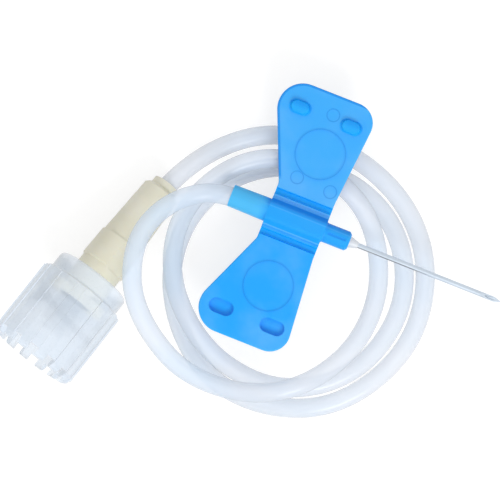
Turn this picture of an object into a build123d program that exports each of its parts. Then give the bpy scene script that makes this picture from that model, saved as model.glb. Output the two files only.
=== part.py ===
from build123d import *
from math import atan2, cos, pi, radians, sin, tan
import os

# Tubing
tube_radius = 1.22
pass_gap = 0.04

# Hub, along +X towards the needle's point; its stations are counted from its middle
hub_x = 0.5
hub_y = 6.6
sleeve_end = -7.9
neck_back = -3.0
neck_front = 4.5
nose_end = 7.9
sleeve_radius = 1.5
sleeve_end_radius = 1.41
nose_radius = 1.25
nose_chamfer = 0.3
nose_root = 0.2
nose_root_rise = 0.1
tube_socket_depth = 3.1
socket_clearance = 0.03
socket_lead_in = 0.08
saddle_half_width = 1.85
saddle_crown_half_width = 1.0
saddle_height = 1.5
saddle_shoulder = 0.35
saddle_foot_round = 0.3
saddle_crown_round = 0.7
nose_slot_length = 2.4
nose_slot_width = 0.3
nose_slot_depth = 0.12

# Wings
wing_gap = 0.03
wing_thickness = 1.0
wing_drop = 0.9
wing_reach = 16.5
outer_back = -8.4
outer_front = 5.6
neck_reach = 3.7
outer_back_round = 3.2
outer_front_round = 2.6
neck_round = 1.2
edge_round = 0.18
groove_inner = 2.2
groove_width = 0.9
groove_depth = 0.55
groove_slope = 0.14
groove_overrun = 0.5
fastener_reach = 13.35
fastener_back = -3.95
fastener_front = 2.85
peg_length = 2.6
peg_width = 1.75
peg_height = 0.55
peg_draft = 0.2
recess_length = 3.2
recess_width = 1.85
recess_depth = 0.6
ring_x = 0.55
ring_reach = 8.8
ring_radius = 3.22
ring_width = 0.16
ring_height = 0.06
ejector_radius = 0.8
ejector_depth = 0.05
ejector_marks = [(0.25, 13.95), (-1.1, 5.1), (3.4, 4.9)]

# Needle, 23 gauge, three quarters of an inch long beyond its bond
needle_radius = 0.32
needle_bore_radius = 0.17
needle_exposed = 19.05
bevel_angle = 13.0
lancet_angle = 20.0
lancet_turn = 35.0
bond_gap = 0.01
bond_lip = 0.04
bond_cone_length = 1.15
bond_well_depth = 1.0
bond_well_radius = 0.75

# Connector, turned about an axis that rises from the tubing to the cap; its stations are
# counted from the tip that holds the tubing
tip_x = -15.65
tip_y = 4.95
heading = 254.2
tip_radius = 1.8
tip_length = 1.0
grip_chamfer = 0.3
grip_start_radius = 2.43
grip_radius = 2.78
grip_end = 9.4
body_start_radius = 2.94
body_radius = 3.05
body_end = 13.2
flat_distance = 2.7
flat_setback = 0.3
flat_turn = 53.0
luer_neck_radius = 2.85
luer_end = 18.9
lug_radius = 3.9
lug_width = 5.4
lug_length = 1.1
luer_mouth_radius = 2.135
luer_taper = 0.03
luer_depth = 8.0
flow_radius = 0.7
tube_insert = 3.5
tube_lead = 2.65

# Cap
cap_start = 14.9
collar_length = 2.3
collar_radius = 5.0
lug_clearance = 0.25
collar_round = 0.5
skirt_length = 10.6
cap_radius = 5.8
skirt_wall = 1.1
shoulder_wall = 0.9
shoulder_chamfer = 0.3
rim_round = 0.6
rib_count = 14
rib_height = 0.12
rib_width = 1.3
floor_station = 23.0
inner_wall = 0.9
notch_count = 14
notch_width = 1.2
notch_depth = 1.0
plug_clearance = 0.04
plug_reach = 6.9
plug_wall = 0.85

# Levels above the surface that the set lies on: turns on it, turns on those, and the wings
low = tube_radius
high = 3 * tube_radius + pass_gap
wing_underside = high + tube_radius + wing_gap
hub_level = wing_underside + wing_drop
wing_top_above_axis = wing_thickness - wing_drop

# The hub's planes
hub_centre = Vector(hub_x, hub_y, hub_level)
hub_axis = Axis(hub_centre, (1, 0, 0))
hub_profile = Plane(origin=hub_centre, x_dir=(1, 0, 0), z_dir=(0, -1, 0))
wing_bottom = Plane(origin=(hub_x, hub_y, wing_underside))
wing_top = wing_bottom.offset(wing_thickness)
tube_stop = sleeve_end + tube_socket_depth
tube_socket_radius = tube_radius + socket_clearance
needle_seat_radius = needle_radius + bond_gap

# The connector and its cap lie on the end of the grip and on the front of the two lowest ribs
skirt_start = cap_start + collar_length
rib_start = skirt_start + shoulder_chamfer
rib_turn = 180 / rib_count
lowest_radius = cap_radius * cos(radians(rib_turn)) + rib_width / 2 * sin(radians(rib_turn))
heel = tip_length + grip_chamfer
tilt = atan2(lowest_radius - grip_start_radius, rib_start - heel)
turn = radians(heading)
tip_level = grip_start_radius * cos(tilt) - heel * sin(tilt)
tip = Vector(tip_x, tip_y, tip_level)
along = Vector(cos(tilt) * cos(turn), cos(tilt) * sin(turn), sin(tilt))
across = Vector(-sin(turn), cos(turn), 0)
connector_axis = Axis(tip, along)
connector_profile = Plane(origin=tip, x_dir=along, z_dir=across)


def hub_station(distance):
    return Plane(origin=hub_centre + Vector(distance, 0, 0), x_dir=(0, 1, 0), z_dir=(1, 0, 0))


def connector_station(distance):
    return Plane(origin=tip + along * distance, x_dir=across, z_dir=along)


def nearest(sketch, x, y):
    return sketch.vertices().sort_by_distance((x, y))[0]


# One soft moulding: two wings with their hinge grooves, saddle and hub
with BuildPart() as wing_hub:
    with BuildSketch(wing_bottom) as wings:
        with BuildLine():
            Polyline(
                (neck_front, 0),
                (neck_front, neck_reach),
                (outer_front, wing_reach),
                (outer_back, wing_reach),
                (neck_back, neck_reach),
                (neck_back, 0),
                close=True,
            )
        make_face()
        fillet(nearest(wings, outer_back, wing_reach), outer_back_round)
        fillet(nearest(wings, outer_front, wing_reach), outer_front_round)
        fillet(nearest(wings, neck_back, neck_reach), neck_round)
        fillet(nearest(wings, neck_front, neck_reach), neck_round)
        mirror(about=Plane.XZ)
    extrude(amount=wing_thickness)
    fillet(wing_hub.edges().group_by(Axis.Z)[-1] + wing_hub.edges().group_by(Axis.Z)[0], edge_round)

    with BuildSketch(hub_station(neck_back)):
        with BuildLine():
            FilletPolyline(
                (-saddle_half_width, -wing_drop),
                (-saddle_half_width, saddle_shoulder),
                (-saddle_crown_half_width, saddle_height),
                (saddle_crown_half_width, saddle_height),
                (saddle_half_width, saddle_shoulder),
                (saddle_half_width, -wing_drop),
                radius=[saddle_foot_round, saddle_crown_round, saddle_crown_round, saddle_foot_round],
            )
            Line((saddle_half_width, -wing_drop), (-saddle_half_width, -wing_drop))
        make_face()
    extrude(amount=neck_front - neck_back)

    with BuildSketch(hub_profile):
        with BuildLine():
            Polyline(
                (sleeve_end, 0),
                (sleeve_end, sleeve_end_radius),
                (neck_back, sleeve_radius),
                (neck_front, nose_radius + nose_root_rise),
                (neck_front + nose_root, nose_radius),
                (nose_end - nose_chamfer, nose_radius),
                (nose_end, nose_radius - nose_chamfer),
                (nose_end, 0),
                close=True,
            )
        make_face()
    revolve(axis=hub_axis)

    with BuildSketch(hub_station(neck_back - groove_overrun)):
        for side in (-1, 1):
            with BuildLine():
                Polyline(
                    (side * (groove_inner - groove_slope), wing_top_above_axis + groove_depth),
                    (side * (groove_inner + groove_slope), wing_top_above_axis - groove_depth),
                    (side * (groove_inner + groove_width - groove_slope), wing_top_above_axis - groove_depth),
                    (side * (groove_inner + groove_width + groove_slope), wing_top_above_axis + groove_depth),
                    close=True,
                )
            make_face()
    extrude(amount=neck_front - neck_back + 2 * groove_overrun, mode=Mode.SUBTRACT)

    for peg_x in (fastener_back, fastener_front):
        with BuildSketch(wing_top):
            with Locations((peg_x, fastener_reach)):
                SlotOverall(peg_length, peg_width)
        with BuildSketch(wing_top.offset(peg_height)):
            with Locations((peg_x, fastener_reach)):
                SlotOverall(peg_length - 2 * peg_draft, peg_width - 2 * peg_draft)
        loft()

    with BuildSketch(wing_top):
        with Locations((fastener_back, -fastener_reach), (fastener_front, -fastener_reach)):
            SlotOverall(recess_length, recess_width)
    extrude(amount=-recess_depth, mode=Mode.SUBTRACT)

    with BuildSketch(wing_top):
        with Locations((ring_x, ring_reach), (ring_x, -ring_reach)):
            Circle(ring_radius)
            Circle(ring_radius - ring_width, mode=Mode.SUBTRACT)
    extrude(amount=ring_height)

    with BuildSketch(wing_top):
        with Locations(*ejector_marks):
            Circle(ejector_radius)
    extrude(amount=-ejector_depth, mode=Mode.SUBTRACT)

    with BuildSketch(hub_profile):
        with BuildLine():
            Polyline(
                (sleeve_end, 0),
                (sleeve_end, tube_socket_radius + socket_lead_in),
                (sleeve_end + socket_lead_in, tube_socket_radius),
                (tube_stop, tube_socket_radius),
                (tube_stop, needle_seat_radius),
                (nose_end - bond_well_depth, needle_seat_radius),
                (nose_end - bond_well_depth, bond_well_radius),
                (nose_end, bond_well_radius),
                (nose_end, 0),
                close=True,
            )
        make_face()
    revolve(axis=hub_axis, mode=Mode.SUBTRACT)

    with BuildSketch(Plane(origin=hub_centre + Vector(0, 0, nose_radius))):
        with Locations(((neck_front + nose_end) / 2, 0)):
            SlotOverall(nose_slot_length, nose_slot_width)
    extrude(amount=-nose_slot_depth, mode=Mode.SUBTRACT)
wing_hub.part.label = "wing_hub"

# Hollow needle: a long bevel that faces up, and a lancet face on each side of its point
needle_end = nose_end + bond_cone_length + needle_exposed
needle_point = hub_centre + Vector(needle_end, 0, -needle_radius)
with BuildPart() as needle_cannula:
    with BuildSketch(hub_station(tube_stop)):
        Circle(needle_radius)
        Circle(needle_bore_radius, mode=Mode.SUBTRACT)
    extrude(amount=needle_end - tube_stop)
    bevel = Vector(sin(radians(bevel_angle)), 0, cos(radians(bevel_angle)))
    split(bisect_by=Plane(origin=needle_point, z_dir=bevel), keep=Keep.BOTTOM)
    lancet = Vector(sin(radians(lancet_angle)), 0, cos(radians(lancet_angle)))
    for side in (-1, 1):
        ground = Plane(origin=needle_point, z_dir=lancet.rotate(Axis.X, side * lancet_turn))
        split(bisect_by=ground, keep=Keep.BOTTOM)
needle_cannula.part.label = "needle_cannula"

# Adhesive that fills the well in the nose and stands out of it as a cone
with BuildPart() as needle_bond:
    with BuildSketch(hub_profile):
        with BuildLine():
            Polyline(
                (nose_end - bond_well_depth, needle_seat_radius),
                (nose_end - bond_well_depth, bond_well_radius),
                (nose_end, bond_well_radius),
                (nose_end + bond_cone_length, needle_seat_radius + bond_lip),
                (nose_end + bond_cone_length, needle_seat_radius),
                close=True,
            )
        make_face()
    revolve(axis=hub_axis)
needle_bond.part.label = "needle_bond"

# Tubing, from inside the hub to inside the connector, by hand-set points along its loose turns
points = [
    hub_centre + Vector(tube_stop, 0, 0),
    Vector(-8.9, hub_y, hub_level),
    Vector(-12.9, 4.3, 6.5),
    Vector(-15.5, 0.6, 7.5),
    Vector(-16.2, -3.8, 8.2),
    Vector(-14.5, -9.1, 7.5),
    Vector(-10.6, -13.2, 5.9),
    Vector(-4.7, -16.3, 4.5),
    Vector(3.1, -16.1, 3.9),
    Vector(9.5, -12.7, 4.1),
    Vector(13.9, -6.2, 2.5),
    Vector(14.7, 1.2, low),
    Vector(12.0, 7.9, 2.1),
    Vector(7.5, 12.3, high),
    Vector(0.7, 14.1, high),
    Vector(-5.9, 12.7, high),
    Vector(-10.7, 7.8, high),
    Vector(-12.7, 1.2, high),
    Vector(-11.0, -5.4, high),
    Vector(-6.6, -10.4, 3.5),
    Vector(-1.0, -13.5, 2.3),
    Vector(6.1, -14.2, 1.5),
    Vector(12.6, -11.2, low),
    Vector(16.9, -5.4, low),
    Vector(17.9, 2.5, low),
    Vector(14.5, 9.7, low),
    Vector(7.8, 13.8, low),
    Vector(-0.1, 13.9, low),
    Vector(-7.4, 10.3, low),
    Vector(-11.6, 3.5, low),
    Vector(-11.7, -4.3, low),
    Vector(-7.9, -11.3, low),
    Vector(-1.6, -16.1, low),
    Vector(6.3, -16.7, low),
    Vector(13.8, -13.8, low),
    Vector(18.8, -7.4, low),
    Vector(20.7, -0.1, low),
    Vector(18.8, 7.9, low),
    Vector(13.7, 13.8, low),
    Vector(6.4, 17.0, low),
    Vector(-1.3, 17.4, low),
    Vector(-8.8, 14.6, low),
    tip - along * tube_lead,
    tip + along * tube_insert,
]
radii = []
for before, corner, after in zip(points, points[1:], points[2:]):
    half_turn = radians((corner - before).get_angle(after - corner)) / 2
    shorter_run = min((corner - before).length, (after - corner).length)
    radii.append(0.45 * shorter_run / tan(half_turn))

with BuildPart() as tubing:
    with BuildLine() as centreline:
        FilletPolyline(*points, radius=radii)
    with BuildSketch(Plane(origin=points[0], z_dir=points[1] - points[0])):
        Circle(tube_radius)
    sweep()
tubing.part.label = "tubing"

tube_length = sum(edge.length for edge in centreline.edges())
print("tubing radii", [round(radius, 1) for radius in radii])
print("tubing length", round(tube_length, 1))
print("tubing volume", round(tubing.part.volume, 1), "against", round(pi * tube_radius**2 * tube_length, 1))

# Connector: grip over the tubing, body with two flats, tapered socket and two locking lugs
with BuildPart() as luer_connector:
    with BuildSketch(connector_profile):
        with BuildLine():
            Polyline(
                (0, tube_socket_radius),
                (0, tip_radius),
                (tip_length, tip_radius),
                (tip_length, grip_start_radius - grip_chamfer),
                (heel, grip_start_radius),
                (grip_end, grip_radius),
                (grip_end, body_start_radius),
                (body_end, body_radius),
                (body_end + body_radius - luer_neck_radius, luer_neck_radius),
                (luer_end, luer_neck_radius),
                (luer_end, luer_mouth_radius),
                (luer_end - luer_depth, luer_mouth_radius - luer_taper * luer_depth),
                (luer_end - luer_depth, flow_radius),
                (tube_insert, flow_radius),
                (tube_insert, tube_socket_radius),
                close=True,
            )
        make_face()
    revolve(axis=connector_axis)
    with BuildSketch(connector_station(grip_end + flat_setback)):
        with PolarLocations(flat_distance + body_radius / 2, 2, start_angle=flat_turn):
            Rectangle(body_radius, 2 * body_radius)
    extrude(amount=body_end - grip_end, mode=Mode.SUBTRACT)
    with BuildSketch(connector_station(luer_end - lug_length)):
        Circle(lug_radius)
        Rectangle(2 * lug_radius, lug_width, mode=Mode.INTERSECT)
        Circle(luer_neck_radius, mode=Mode.SUBTRACT)
    extrude(amount=lug_length)
luer_connector.part.label = "luer_connector"

# Cap: collar, ribbed skirt with a notched rim, inner wall, and the plug that closes the socket
rim = skirt_start + skirt_length
plug_end = luer_end - plug_reach
plug_end_radius = luer_mouth_radius - luer_taper * plug_reach - plug_clearance
plug_root_radius = plug_end_radius + luer_taper * (floor_station - plug_end)
wall_end = floor_station + inner_wall
room_start = skirt_start + shoulder_wall
skirt_radius = cap_radius - rib_height
collar_bore_radius = lug_radius + lug_clearance
with BuildPart() as luer_cap:
    with BuildSketch(connector_profile) as half:
        with BuildLine():
            Polyline(
                (cap_start, collar_bore_radius),
                (cap_start, collar_radius),
                (skirt_start, collar_radius),
                (skirt_start, skirt_radius),
                (rim, skirt_radius),
                (rim, cap_radius - skirt_wall),
                (wall_end, cap_radius - skirt_wall),
                (wall_end, plug_root_radius - plug_wall),
                (plug_end + plug_wall, plug_end_radius - plug_wall),
                (plug_end + plug_wall, 0),
                (plug_end, 0),
                (plug_end, plug_end_radius),
                (floor_station, plug_root_radius),
                (floor_station, cap_radius - skirt_wall),
                (room_start, cap_radius - skirt_wall),
                (room_start, collar_bore_radius),
                close=True,
            )
        make_face()
        fillet(nearest(half, cap_start, collar_radius), collar_round)
        chamfer(nearest(half, skirt_start, skirt_radius), shoulder_chamfer)
        fillet(nearest(half, rim, skirt_radius), rim_round)
    revolve(axis=connector_axis)
    with BuildSketch(connector_station(rib_start)):
        with PolarLocations(skirt_radius, rib_count, start_angle=90 + rib_turn):
            Rectangle(2 * rib_height, rib_width)
    extrude(amount=rim - rim_round - rib_start)
    with BuildSketch(connector_station(rim)):
        with PolarLocations(cap_radius - skirt_wall / 2, notch_count, start_angle=90):
            Rectangle(2 * skirt_wall, notch_width)
    extrude(amount=-notch_depth, mode=Mode.SUBTRACT)
luer_cap.part.label = "luer_cap"

os.makedirs("parts", exist_ok=True)
export_step(wing_hub.part, "parts/wing_hub.step")
export_step(needle_cannula.part, "parts/needle_cannula.step")
export_step(needle_bond.part, "parts/needle_bond.step")
export_step(tubing.part, "parts/tubing.step")
export_step(luer_connector.part, "parts/luer_connector.step")
export_step(luer_cap.part, "parts/luer_cap.step")
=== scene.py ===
import math

import bpy
from mathutils import Matrix, Vector


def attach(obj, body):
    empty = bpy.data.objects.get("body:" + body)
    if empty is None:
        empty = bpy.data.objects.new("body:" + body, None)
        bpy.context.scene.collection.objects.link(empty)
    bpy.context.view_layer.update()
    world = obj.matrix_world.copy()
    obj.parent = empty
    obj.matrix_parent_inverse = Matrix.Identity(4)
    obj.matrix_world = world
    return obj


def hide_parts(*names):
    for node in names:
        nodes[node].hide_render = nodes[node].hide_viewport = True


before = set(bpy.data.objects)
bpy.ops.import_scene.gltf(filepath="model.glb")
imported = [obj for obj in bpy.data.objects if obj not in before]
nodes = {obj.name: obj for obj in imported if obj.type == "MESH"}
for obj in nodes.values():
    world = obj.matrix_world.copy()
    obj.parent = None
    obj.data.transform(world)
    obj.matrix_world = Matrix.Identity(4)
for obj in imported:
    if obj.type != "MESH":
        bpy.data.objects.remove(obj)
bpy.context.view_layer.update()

bpy.ops.object.select_all(action="DESELECT")
scene = bpy.context.scene
scene.view_settings.view_transform = "Standard"
mm = 0.001
mergeDistance = 0.000001

hub = {"centre": (0.5, 6.6, 5.85), "tubeStop": -4.8}
connector = {"tip": (-15.65, 4.95, 2.1144), "heading": 254.2, "rise": 11.7487, "lead": 2.65, "insert": 3.5}


def connectorDirection():
    turn = math.radians(connector["heading"])
    rise = math.radians(connector["rise"])
    return Vector((math.cos(rise) * math.cos(turn), math.cos(rise) * math.sin(turn), math.sin(rise)))


def connectorPoint(distance):
    return Vector(connector["tip"]) + connectorDirection() * distance


def connectorFrame(distance):
    along = connectorDirection()
    turn = math.radians(connector["heading"])
    across = Vector((-math.sin(turn), math.cos(turn), 0))
    turned = Matrix((across, along.cross(across), along)).transposed().to_4x4()
    return Matrix.Translation(connectorPoint(distance) * mm) @ turned


# materials
def newMaterial(name):
    material = bpy.data.materials.new(name)
    material.use_nodes = True
    tree = material.node_tree
    return material, tree, tree.nodes["Principled BSDF"]


def addNoise(tree, scale, detail=3.0, stretch=(1, 1, 1)):
    place = tree.nodes.new("ShaderNodeTexCoord")
    mapping = tree.nodes.new("ShaderNodeMapping")
    mapping.inputs["Scale"].default_value = stretch
    noise = tree.nodes.new("ShaderNodeTexNoise")
    noise.inputs["Scale"].default_value = scale
    noise.inputs["Detail"].default_value = detail
    tree.links.new(place.outputs["Object"], mapping.inputs["Vector"])
    tree.links.new(mapping.outputs["Vector"], noise.inputs["Vector"])
    return noise


def addRamp(tree, source, low, high, lowAt=0.3, highAt=0.7):
    ramp = tree.nodes.new("ShaderNodeValToRGB")
    ramp.color_ramp.elements[0].position = lowAt
    ramp.color_ramp.elements[0].color = low
    ramp.color_ramp.elements[1].position = highAt
    ramp.color_ramp.elements[1].color = high
    tree.links.new(source, ramp.inputs["Fac"])
    return ramp


def grey(value):
    return (value, value, value, 1)


def addClouds(tree, shader, look):
    # a base colour that wanders between the look's deep and light one
    noise = addNoise(tree, look["cloudScale"])
    colour = addRamp(tree, noise.outputs["Fac"], look["deep"], look["light"])
    tree.links.new(colour.outputs["Color"], shader.inputs["Base Color"])
    return noise


def addGrain(tree, shader, look, detail=4):
    # a fine, uneven roughness, and a low relief where the look asks for one
    fine = addNoise(tree, look["grainScale"], detail)
    low = grey(look["roughness"] - look["roughnessSpread"])
    high = grey(look["roughness"] + look["roughnessSpread"])
    rough = addRamp(tree, fine.outputs["Fac"], low, high)
    tree.links.new(rough.outputs["Color"], shader.inputs["Roughness"])
    if "grainStrength" in look:
        bump = tree.nodes.new("ShaderNodeBump")
        bump.inputs["Strength"].default_value = look["grainStrength"]
        bump.inputs["Distance"].default_value = look["grainDepth"]
        tree.links.new(fine.outputs["Fac"], bump.inputs["Height"])
        tree.links.new(bump.outputs["Normal"], shader.inputs["Normal"])


def addGlow(shader, look):
    shader.inputs["Subsurface Weight"].default_value = look["glow"]
    shader.inputs["Subsurface Radius"].default_value = look["glowRadius"]
    shader.inputs["Subsurface Scale"].default_value = look["glowDepth"]


def addMath(tree, operation, *values):
    node = tree.nodes.new("ShaderNodeMath")
    node.operation = operation
    for socket, value in zip(node.inputs, values):
        if isinstance(value, (int, float)):
            socket.default_value = value
        else:
            tree.links.new(value, socket)
    return node.outputs["Value"]


def addStep(tree, value, low, high):
    step = tree.nodes.new("ShaderNodeMapRange")
    step.interpolation_type = "SMOOTHSTEP"
    step.inputs["From Min"].default_value = low
    step.inputs["From Max"].default_value = high
    tree.links.new(value, step.inputs["Value"])
    return step.outputs["Result"]


def addBand(tree, value, low, high, soft):
    rising = addStep(tree, value, low - soft, low + soft)
    falling = addStep(tree, value, high - soft, high + soft)
    return addMath(tree, "SUBTRACT", rising, falling)


def addWithin(tree, value, reach, soft):
    return addMath(tree, "SUBTRACT", 1, addStep(tree, value, reach - soft, reach + soft))


def addMix(tree, share, first, second):
    # colour sockets go by number, since the node has sockets of the same names for plain values
    mix = tree.nodes.new("ShaderNodeMix")
    mix.data_type = "RGBA"
    tree.links.new(share, mix.inputs[0])
    for socket, colour in ((mix.inputs[6], first), (mix.inputs[7], second)):
        if isinstance(colour, tuple):
            socket.default_value = colour
        else:
            tree.links.new(colour, socket)
    return mix.outputs[2]


def addProduct(tree, first, second):
    return addMath(tree, "MULTIPLY", first, second)


def addLength(tree, first, second):
    squares = addMath(tree, "ADD", addProduct(tree, first, first), addProduct(tree, second, second))
    return addMath(tree, "SQRT", squares)


def addHubPlace(tree):
    place = tree.nodes.new("ShaderNodeTexCoord")
    moved = tree.nodes.new("ShaderNodeMapping")
    moved.inputs["Location"].default_value = [-value for value in hub["centre"]]
    moved.inputs["Scale"].default_value = (1 / mm, 1 / mm, 1 / mm)
    parts = tree.nodes.new("ShaderNodeSeparateXYZ")
    tree.links.new(place.outputs["Object"], moved.inputs["Vector"])
    tree.links.new(moved.outputs["Vector"], parts.inputs["Vector"])
    return parts.outputs["X"], parts.outputs["Y"]


def addCircle(tree, x, y, middle, radius, width):
    away = addLength(tree, addMath(tree, "SUBTRACT", x, middle[0]), addMath(tree, "SUBTRACT", y, middle[1]))
    return addBand(tree, away, radius - width / 2, radius + width / 2, width / 3)


def addWingEdgeShade(tree, x, y, look):
    # painted shade along the outer and the back edge of the wing, and round the corner between them
    across = addMath(tree, "SUBTRACT", x, look["corner"][0])
    along = addMath(tree, "SUBTRACT", y, look["corner"][1])
    leanX, leanY = look["back"]
    past = addMath(tree, "ADD", addProduct(tree, across, leanX), addProduct(tree, along, leanY))
    aside = addMath(tree, "SUBTRACT", addProduct(tree, along, leanX), addProduct(tree, across, leanY))
    edge = addMath(tree, "MAXIMUM", along, aside)
    beside = addMath(tree, "LESS_THAN", across, 0)
    turning = addProduct(tree, beside, addMath(tree, "GREATER_THAN", past, 0))
    more = addProduct(tree, turning, addMath(tree, "SUBTRACT", addLength(tree, across, along), edge))
    inner = look["radius"] - look["width"]
    line = addStep(tree, addMath(tree, "ADD", edge, more), inner - look["soft"], inner + look["soft"])
    return addProduct(tree, line, addStep(tree, y, look["from"], look["to"]))


def addFasteners(tree, x, y, side, colour, fastener):
    # pegs and recesses are long rounds on each wing, tinted deeper inside, with painted shade on their half
    # towards the wing's outer edge
    beside = addMath(tree, "ABSOLUTE", addMath(tree, "SUBTRACT", x, fastener["middle"]))
    past = addMath(tree, "ABSOLUTE", addMath(tree, "SUBTRACT", beside, fastener["spread"]))
    past = addMath(tree, "MAXIMUM", addMath(tree, "SUBTRACT", past, fastener["straight"]), 0)
    away = addLength(tree, past, addMath(tree, "SUBTRACT", side, fastener["reach"]))
    inside = addWithin(tree, away, fastener["radius"], fastener["soft"])
    onPegWing = addStep(tree, y, -fastener["apart"], fastener["apart"])
    deeper = addMath(tree, "ADD", addProduct(tree, onPegWing, fastener["pegMore"]), fastener["recessShare"])
    colour = addMix(tree, addProduct(tree, inside, deeper), colour, fastener["floor"])
    shadedHalf = addProduct(tree, addStep(tree, side, fastener["shadeFrom"], fastener["shadeTo"]), inside)
    return addMix(tree, addProduct(tree, shadedHalf, fastener["shadeShare"]), colour, fastener["shade"])


def softBlueMaterial(look):
    material, tree, shader = newMaterial("softBluePlastic")
    x, y = addHubPlace(tree)
    side = addMath(tree, "ABSOLUTE", y)
    paintedSheen = addNoise(tree, look["cloudScale"])
    # painted light: the higher wing is painted lighter than the lower one
    upwards = addStep(tree, y, -look["between"], look["between"])
    wings = addMix(tree, upwards, look["lowWing"], look["highWingPaintedLighter"])
    # painted sheen: lighter patches from the noise, over the whole piece
    sheenPatches = addStep(tree, paintedSheen.outputs["Fac"], look["sheenFrom"], look["sheenTo"])
    colour = addMix(tree, addProduct(tree, sheenPatches, look["sheenShare"]), wings, look["paintedSheen"])

    # painted shade tone: the hinge grooves take a purer blue for how they look in shade; pegs and recesses
    # are tinted deeper inside, with painted shade towards the wing's outer edge
    groove = addBand(tree, side, look["grooveInner"], look["grooveOuter"], look["grooveSoft"])
    colour = addMix(tree, groove, colour, look["groove"])
    colour = addFasteners(tree, x, y, side, colour, look["fastener"])

    # fine lines round the rings and the small marks, and painted shade along the edge of the wing with the
    # pegs
    lines = addCircle(tree, x, side, look["ring"][:2], look["ring"][2], look["lineWidth"])
    for mark in look["marks"]:
        circle = addCircle(tree, x, y, mark[:2], mark[2], look["lineWidth"])
        lines = addMath(tree, "MAXIMUM", lines, circle)
    colour = addMix(tree, addProduct(tree, lines, look["lineShare"]), colour, look["line"])
    wingEdgeShade = look["wingEdgeShade"]
    edge = addProduct(tree, addWingEdgeShade(tree, x, y, wingEdgeShade), wingEdgeShade["share"])
    colour = addMix(tree, edge, colour, wingEdgeShade["line"])

    # saddle and nose take a deeper blue with painted shade on one side and painted highlight strips, and the
    # sleeve is paler where it holds the tubing
    barrel = addWithin(tree, side, look["barrel"], look["barrelSoft"])
    colour = addMix(tree, addProduct(tree, barrel, look["barrelShare"]), colour, look["barrelColour"])
    shade = addProduct(tree, addStep(tree, y, look["shadeFrom"], look["shadeTo"]), barrel)
    colour = addMix(tree, addProduct(tree, shade, look["shadeShare"]), colour, look["shade"])
    # painted light: a lit band beside the saddle's upper foot and two thin painted highlight lines
    for low, high, share, bright in look["highlightStrips"]:
        highlightStrip = addProduct(tree, addBand(tree, y, low, high, look["barrelSoft"]), share)
        colour = addMix(tree, highlightStrip, colour, bright)
    sleeve = addProduct(tree, addStep(tree, x, look["sleeveFrom"], look["sleeveTo"]), barrel)
    colour = addMix(tree, addProduct(tree, sleeve, look["sleeveShare"]), colour, look["sleeve"])
    tree.links.new(colour, shader.inputs["Base Color"])

    addGrain(tree, shader, look)
    addGlow(shader, look)
    shader.inputs["Specular IOR Level"].default_value = look["gloss"]
    return material


def addTubeInside(tree):
    bore = tree.nodes.new("ShaderNodeAttribute")
    bore.attribute_name = "bore"
    return bore.outputs["Fac"]


def addCapInside(tree):
    place = tree.nodes.new("ShaderNodeTexCoord")
    fromTip = tree.nodes.new("ShaderNodeVectorMath")
    fromTip.operation = "SUBTRACT"
    fromTip.inputs[1].default_value = connectorPoint(0) * mm
    across = tree.nodes.new("ShaderNodeVectorMath")
    across.operation = "CROSS_PRODUCT"
    across.inputs[1].default_value = connectorDirection()
    reach = tree.nodes.new("ShaderNodeVectorMath")
    reach.operation = "LENGTH"
    tree.links.new(place.outputs["Object"], fromTip.inputs[0])
    tree.links.new(fromTip.outputs["Vector"], across.inputs[0])
    tree.links.new(across.outputs["Vector"], reach.inputs[0])
    return addStep(tree, reach.outputs["Value"], capLook["outsideFrom"] * mm, capLook["insideTo"] * mm)


def clearMaterial(name, look, addInside=None):
    material, tree, shader = newMaterial(name)
    noise = addClouds(tree, shader, look)
    addGrain(tree, shader, look)
    shader.inputs["Sheen Weight"].default_value = look["sheen"]

    # the outer wall covers more than the wall behind it
    low = grey(look["alpha"] - look["alphaSpread"])
    high = grey(look["alpha"] + look["alphaSpread"])
    cover = addRamp(tree, noise.outputs["Fac"], low, high).outputs["Color"]
    if addInside:
        less = addProduct(tree, addInside(tree), 1 - look["insideShare"])
        cover = addProduct(tree, cover, addMath(tree, "SUBTRACT", 1, less))

    # milky plastic passes most of the light on to what lies behind it
    path = tree.nodes.new("ShaderNodeLightPath")
    light = addMath(tree, "MAXIMUM", path.outputs["Is Shadow Ray"], path.outputs["Is Diffuse Ray"])
    passing = addMath(tree, "SUBTRACT", 1, addProduct(tree, light, look["lightThrough"]))
    tree.links.new(addProduct(tree, cover, passing), shader.inputs["Alpha"])
    return material


def creamMaterial(look):
    material, tree, shader = newMaterial("creamPlastic")
    addClouds(tree, shader, look)
    addGrain(tree, shader, look)
    addGlow(shader, look)
    return material


def steelMaterial(look):
    material, tree, shader = newMaterial("needleSteel")
    shader.inputs["Metallic"].default_value = 1
    drawn = addNoise(tree, look["drawnScale"], look["drawnDetail"], look["drawnStretch"])
    colour = addRamp(tree, drawn.outputs["Fac"], look["deep"], look["light"])

    # painted reflection: a dark line along one side, which ends past the coil
    x, y = addHubPlace(tree)
    edge = addBand(tree, y, look["reflectionFrom"], look["reflectionTo"], look["reflectionSoft"])
    edge = addProduct(tree, edge, addStep(tree, x, look["reflectionEnd"], look["reflectionFull"]))
    edge = addProduct(tree, edge, look["lineShare"])
    tree.links.new(addMix(tree, edge, colour.outputs["Color"], look["line"]), shader.inputs["Base Color"])
    rough = addRamp(tree, drawn.outputs["Fac"], grey(look["smoothest"]), grey(look["roughest"]))
    tree.links.new(rough.outputs["Color"], shader.inputs["Roughness"])
    return material


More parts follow.
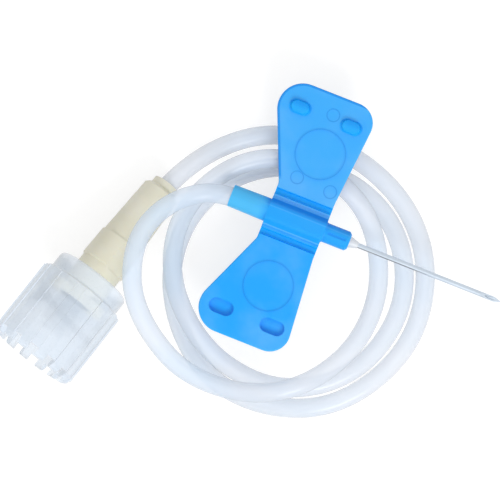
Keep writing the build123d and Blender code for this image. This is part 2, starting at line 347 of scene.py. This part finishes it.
blueLook = {
    "lowWing": (0.008, 0.39, 0.98, 1), "highWingPaintedLighter": (0.045, 0.43, 0.98, 1), "between": 6,
    "paintedSheen": (0.13, 0.49, 1.0, 1), "cloudScale": 150, "sheenShare": 0.6, "sheenFrom": 0.4, "sheenTo": 0.75,
    "groove": (0.0, 0.44, 1.0, 1), "grooveInner": 2.2, "grooveOuter": 3.1, "grooveSoft": 0.08,
    "fastener": {"middle": -0.55, "spread": 3.4, "straight": 0.55, "reach": 13.35, "radius": 0.92,
                 "soft": 0.06, "apart": 1, "recessShare": 0.3, "pegMore": 0.45, "floor": (0.0, 0.41, 0.98, 1),
                 "shade": (0.0, 0.29, 0.86, 1), "shadeShare": 0.75, "shadeFrom": 13.1, "shadeTo": 13.9},
    "ring": (0.55, 8.8, 3.14), "marks": [(0.25, 13.95, 0.8), (-1.1, 5.1, 0.8), (3.4, 4.9, 0.8)],
    "line": (0.0, 0.20, 0.72, 1), "lineWidth": 0.13, "lineShare": 0.42,
    "wingEdgeShade": {"corner": (-3.577, 13.3), "back": (-0.3887, 0.9214), "radius": 3.2, "width": 0.32,
                 "soft": 0.06, "from": 4.0, "to": 4.6, "share": 0.8, "line": (0.0, 0.27, 0.84, 1)},
    "barrel": 1.75, "barrelSoft": 0.05, "barrelColour": (0.006, 0.37, 0.96, 1), "barrelShare": 0.8,
    "shade": (0.0, 0.18, 0.76, 1), "shadeFrom": 0.4, "shadeTo": 1.5, "shadeShare": 0.75,
    "highlightStrips": [(1.62, 2.2, 0.7, (0.12, 0.47, 1.0, 1)), (-1.78, -1.66, 0.5, (0.25, 0.62, 1.0, 1)),
               (0.55, 0.7, 0.2, (0.15, 0.55, 1.0, 1))],
    "sleeve": (0.08, 0.52, 0.98, 1), "sleeveFrom": -2.7, "sleeveTo": -4.2, "sleeveShare": 0.9,
    "grainScale": 5200, "grainStrength": 0.25, "grainDepth": 0.00002,
    "roughness": 0.36, "roughnessSpread": 0.06, "gloss": 0.3,
    "glow": 0.2, "glowRadius": (0.3, 0.8, 1.0), "glowDepth": 0.001,
}
tubeLook = {
    "deep": (0.66, 0.81, 0.99, 1), "light": (0.87, 0.91, 0.99, 1), "cloudScale": 60,
    "grainScale": 2600, "roughness": 0.22, "roughnessSpread": 0.05, "sheen": 0.3,
    "alpha": 0.5, "alphaSpread": 0.03, "insideShare": 0.25, "lightThrough": 0.85,
}
capLook = {
    "deep": (0.70, 0.81, 0.94, 1), "light": (0.80, 0.88, 0.98, 1), "cloudScale": 140,
    "grainScale": 3200, "roughness": 0.3, "roughnessSpread": 0.05, "sheen": 0.7,
    "alpha": 0.6, "alphaSpread": 0.03, "insideShare": 0.25, "lightThrough": 0.95,
    "outsideFrom": 4.97, "insideTo": 4.76,
}
bondLook = {
    "deep": (0.80, 0.85, 0.92, 1), "light": (0.90, 0.93, 0.97, 1), "cloudScale": 900,
    "grainScale": 5200, "roughness": 0.15, "roughnessSpread": 0.05, "sheen": 0,
    "alpha": 0.7, "alphaSpread": 0.03, "lightThrough": 0.4,
}
creamLook = {
    "deep": (0.74, 0.72, 0.58, 1), "light": (0.82, 0.80, 0.68, 1), "cloudScale": 200,
    "grainScale": 4200, "grainStrength": 0.2, "grainDepth": 0.00002,
    "roughness": 0.38, "roughnessSpread": 0.06,
    "glow": 0.2, "glowRadius": (1.0, 0.8, 0.5), "glowDepth": 0.0015,
}
steelLook = {
    "deep": (0.52, 0.59, 0.67, 1), "light": (0.62, 0.69, 0.77, 1),
    "drawnScale": 9000, "drawnDetail": 4, "drawnStretch": (0.04, 1, 1), "smoothest": 0.37, "roughest": 0.5,
    "line": (0.16, 0.15, 0.15, 1), "reflectionFrom": -0.31, "reflectionTo": -0.2, "reflectionSoft": 0.03,
    "reflectionEnd": 19, "reflectionFull": 16, "lineShare": 0.7,
}

softBlue = softBlueMaterial(blueLook)
clearTube = clearMaterial("clearTube", tubeLook, addTubeInside)
clearCap = clearMaterial("clearCap", capLook, addCapInside)
adhesive = clearMaterial("adhesive", bondLook)
cream = creamMaterial(creamLook)
steel = steelMaterial(steelLook)
print("materials made")


# the tubing
tubeSizes = {"radius": 1.22, "bore": 0.62, "length": 0.3025, "stepsPerPoint": 10, "roundSteps": 8,
             "smoothAngle": 40}
tubeRoute = [
    (hub["centre"][0] + hub["tubeStop"], hub["centre"][1], hub["centre"][2]),
    (-8.9, 6.6, 5.85), (-12.9, 4.3, 6.5), (-15.5, 0.6, 7.5), (-16.2, -3.8, 8.2), (-14.5, -9.1, 7.5),
    (-10.6, -13.2, 5.9), (-4.7, -16.3, 4.5), (3.1, -16.1, 3.9), (9.5, -12.7, 4.1), (13.9, -6.2, 2.5),
    (14.7, 1.2, 1.22), (12.0, 7.9, 2.1), (7.5, 12.3, 3.7), (0.7, 14.1, 3.7), (-5.9, 12.7, 3.7),
    (-10.7, 7.8, 3.7), (-12.7, 1.2, 3.7), (-11.0, -5.4, 3.7), (-6.6, -10.4, 3.5), (-1.0, -13.5, 2.3),
    (6.1, -14.2, 1.5), (12.6, -11.2, 1.22), (16.9, -5.4, 1.22), (17.9, 2.5, 1.22), (14.5, 9.7, 1.22),
    (7.8, 13.8, 1.22), (-0.1, 13.9, 1.22), (-7.4, 10.3, 1.22), (-11.6, 3.5, 1.22), (-11.7, -4.3, 1.22),
    (-7.9, -11.3, 1.22), (-1.6, -16.1, 1.22), (6.3, -16.7, 1.22), (13.8, -13.8, 1.22),
    (18.8, -7.4, 1.22), (20.7, -0.1, 1.22), (18.8, 7.9, 1.22), (13.7, 13.8, 1.22), (6.4, 17.0, 1.22),
    (-1.3, 17.4, 1.22), (-8.8, 14.6, 1.22),
    tuple(connectorPoint(-connector["lead"])), tuple(connectorPoint(connector["insert"])),
]


def routeCurve(name, route, radius):
    curve = bpy.data.curves.new(name, "CURVE")
    curve.dimensions = "3D"
    curve.resolution_u = tubeSizes["stepsPerPoint"]
    curve.bevel_depth = radius * mm
    curve.bevel_resolution = tubeSizes["roundSteps"]
    spline = curve.splines.new("NURBS")
    spline.points.add(len(route) - 1)
    for point, place in zip(spline.points, route):
        point.co = (place[0] * mm, place[1] * mm, place[2] * mm, 1)
    spline.order_u = 3
    spline.use_endpoint_u = True
    piece = bpy.data.objects.new(name, curve)
    scene.collection.objects.link(piece)
    return piece


def centreline(name, route):
    line = routeCurve(name, route, 0)
    mesh = bpy.data.meshes.new_from_object(line)
    places = [tuple(vertex.co) for vertex in mesh.vertices]
    bpy.data.objects.remove(line)
    bpy.data.meshes.remove(mesh)
    return places


def only(piece):
    bpy.ops.object.select_all(action="DESELECT")
    piece.select_set(True)
    bpy.context.view_layer.objects.active = piece


def makeHollowTube(name, route, sizes):
    tube = routeCurve(name, route, sizes["radius"])
    only(tube)
    bpy.ops.object.convert(target="MESH")
    tube = bpy.context.object
    bpy.ops.object.mode_set(mode="EDIT")
    bpy.ops.mesh.select_all(action="SELECT")
    bpy.ops.mesh.remove_doubles(threshold=mergeDistance)
    bpy.ops.mesh.normals_make_consistent(inside=False)
    bpy.ops.object.mode_set(mode="OBJECT")
    outerCount = len(tube.data.vertices)
    wall = tube.modifiers.new("wall", "SOLIDIFY")
    wall.thickness = (sizes["radius"] - sizes["bore"]) * mm
    wall.offset = -1
    wall.use_rim = True
    bpy.ops.object.modifier_apply(modifier="wall")
    # the wall's inner points come after the outer ones
    onBore = [float(vertex.index >= outerCount) for vertex in tube.data.vertices]
    tube.data.attributes.new("bore", "FLOAT", "POINT").data.foreach_set("value", onBore)
    bpy.ops.object.shade_smooth_by_angle(angle=math.radians(sizes["smoothAngle"]))
    return tube


clearTubing = makeHollowTube("clearTubing", tubeRoute, tubeSizes)
clearTubing.data.materials.append(clearTube)
centreline("tubeLine", tubeRoute)
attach(clearTubing, "set")
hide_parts("tubing")
print("tubing laid")


# the rigid pieces
def dress(node, material):
    piece = nodes[node]
    piece.data.materials.clear()
    piece.data.materials.append(material)


dress("wing_hub", softBlue)
dress("needle_cannula", steel)
dress("needle_bond", adhesive)
dress("luer_connector", cream)
dress("luer_cap", clearCap)
print("rigid pieces dressed")


# the thread inside the cap
threadSizes = {"wall": 4.78, "crest": 3.75, "foot": 1.0, "top": 0.36, "start": 19.5, "lead": 5.0,
               "turns": 0.5, "starts": 2, "stepsPerTurn": 72, "fadeOver": 0.12, "leastHeight": 0.05,
               "smoothAngle": 35}


def makeThread(name, sizes, turnedBy):
    bpy.ops.mesh.primitive_plane_add(size=1, location=(0, 0, 0))
    ridge = bpy.context.object
    ridge.name = name
    corners = [(sizes["crest"], -sizes["top"] / 2), (sizes["wall"], -sizes["foot"] / 2),
               (sizes["wall"], sizes["foot"] / 2), (sizes["crest"], sizes["top"] / 2)]
    order = ridge.data.polygons[0].vertices
    for index, (reach, height) in zip(order, corners):
        ridge.data.vertices[index].co = (reach * mm, 0, height * mm)
    screw = ridge.modifiers.new("helix", "SCREW")
    screw.angle = math.radians(360 * sizes["turns"])
    screw.screw_offset = sizes["lead"] * sizes["turns"] * mm
    screw.steps = int(sizes["stepsPerTurn"] * sizes["turns"])
    screw.render_steps = screw.steps
    screw.use_smooth_shade = False
    bpy.ops.object.modifier_apply(modifier="helix")
    for vertex in ridge.data.vertices:
        angle = math.atan2(vertex.co.y, vertex.co.x) % (2 * math.pi)
        share = angle / math.radians(360 * sizes["turns"])
        fade = max(0, min(share, 1 - share)) / sizes["fadeOver"]  # the ridge runs out at both ends
        fade = min(1.0, fade + sizes["leastHeight"])
        reach = math.hypot(vertex.co.x, vertex.co.y) / mm
        faded = sizes["wall"] - (sizes["wall"] - reach) * fade
        vertex.co.x *= faded / reach
        vertex.co.y *= faded / reach
    bpy.ops.object.mode_set(mode="EDIT")
    bpy.ops.mesh.select_all(action="SELECT")
    bpy.ops.mesh.remove_doubles(threshold=mergeDistance)
    bpy.ops.mesh.fill_holes(sides=0)
    bpy.ops.mesh.normals_make_consistent(inside=False)
    bpy.ops.object.mode_set(mode="OBJECT")
    ridge.data.transform(connectorFrame(sizes["start"]) @ Matrix.Rotation(turnedBy, 4, "Z"))
    bpy.ops.object.shade_smooth_by_angle(angle=math.radians(sizes["smoothAngle"]))
    return ridge


for number in range(threadSizes["starts"]):
    turnedBy = 2 * math.pi * number / threadSizes["starts"]
    ridge = makeThread("capThread" + str(number + 1), threadSizes, turnedBy)
    ridge.data.materials.append(clearCap)
    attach(ridge, "cap")
print("thread cut")


# floor, light and camera
studio = {"floorSize": 1.2, "floorDrop": 0.00002, "floorColour": (0.4, 0.4, 0.4, 1), "floorRoughness": 0.9,
          "floorGlow": 0.68, "worldStrength": 0.8,
          "keyPlace": (0.30, -0.34, 0.40), "keySize": 0.22, "keyPower": 1.3}


def addSeenDirectly(tree):
    # the backdrop is white where it is looked at, reflected or seen through, and plain as light
    path = tree.nodes.new("ShaderNodeLightPath")
    seen = addMath(tree, "MAXIMUM", path.outputs["Is Camera Ray"], path.outputs["Is Glossy Ray"])
    return addMath(tree, "MAXIMUM", seen, path.outputs["Is Transmission Ray"])


def addFloor(look):
    bpy.ops.mesh.primitive_plane_add(size=look["floorSize"], location=(0, 0, -look["floorDrop"]))
    floor = bpy.context.object
    floor.name = "paleFloor"
    material, tree, shader = newMaterial("paleFloor")
    shader.inputs["Base Color"].default_value = look["floorColour"]
    shader.inputs["Roughness"].default_value = look["floorRoughness"]
    shader.inputs["Emission Color"].default_value = (1, 1, 1, 1)
    glow = addProduct(tree, addSeenDirectly(tree), look["floorGlow"])
    tree.links.new(glow, shader.inputs["Emission Strength"])
    floor.data.materials.append(material)


def addWorld(look):
    world = bpy.data.worlds.new("paleWorld")
    scene.world = world
    world.use_nodes = True
    tree = world.node_tree
    sky = tree.nodes["Background"]
    sky.inputs["Color"].default_value = (1, 1, 1, 1)
    more = addProduct(tree, addSeenDirectly(tree), 1 - look["worldStrength"])
    tree.links.new(addMath(tree, "ADD", more, look["worldStrength"]), sky.inputs["Strength"])


def addLamp(name, place, target, size, power):
    lamp = bpy.data.lights.new(name, "AREA")
    lamp.shape = "DISK"
    lamp.size = size
    lamp.energy = power
    holder = bpy.data.objects.new(name, lamp)
    holder.location = place
    aim = Vector(target) - Vector(place)
    holder.rotation_euler = aim.to_track_quat("-Z", "Y").to_euler()
    scene.collection.objects.link(holder)


addFloor(studio)
addWorld(studio)
addLamp("keyLamp", studio["keyPlace"], (0, 0, 0), studio["keySize"], studio["keyPower"])

view = {"target": (-2.737, 1.139, 5.0), "distance": 250, "tiltX": 0.0254, "tiltY": -0.0115,
        "roll": 0.3777, "pixelsAcross": 500, "focalPixels": 2001.5, "sensorWidth": 36, "clipStart": 0.01}


def addCamera(look):
    away = Vector((math.sin(look["tiltX"]), math.sin(look["tiltY"]), 0))
    away.z = math.sqrt(1 - away.length_squared)
    roughUp = Vector((-math.sin(look["roll"]), math.cos(look["roll"]), 0))
    right = roughUp.cross(away).normalized()
    up = away.cross(right)
    camera = bpy.data.cameras.new("photoCamera")
    camera.sensor_width = look["sensorWidth"]
    camera.lens = camera.sensor_width * look["focalPixels"] / look["pixelsAcross"]
    camera.clip_start = look["clipStart"]
    holder = bpy.data.objects.new("photoCamera", camera)
    place = (Vector(look["target"]) + away * look["distance"]) * mm
    holder.matrix_world = Matrix.Translation(place) @ Matrix((right, up, away)).transposed().to_4x4()
    scene.collection.objects.link(holder)
    scene.camera = holder


addCamera(view)
print("studio set")
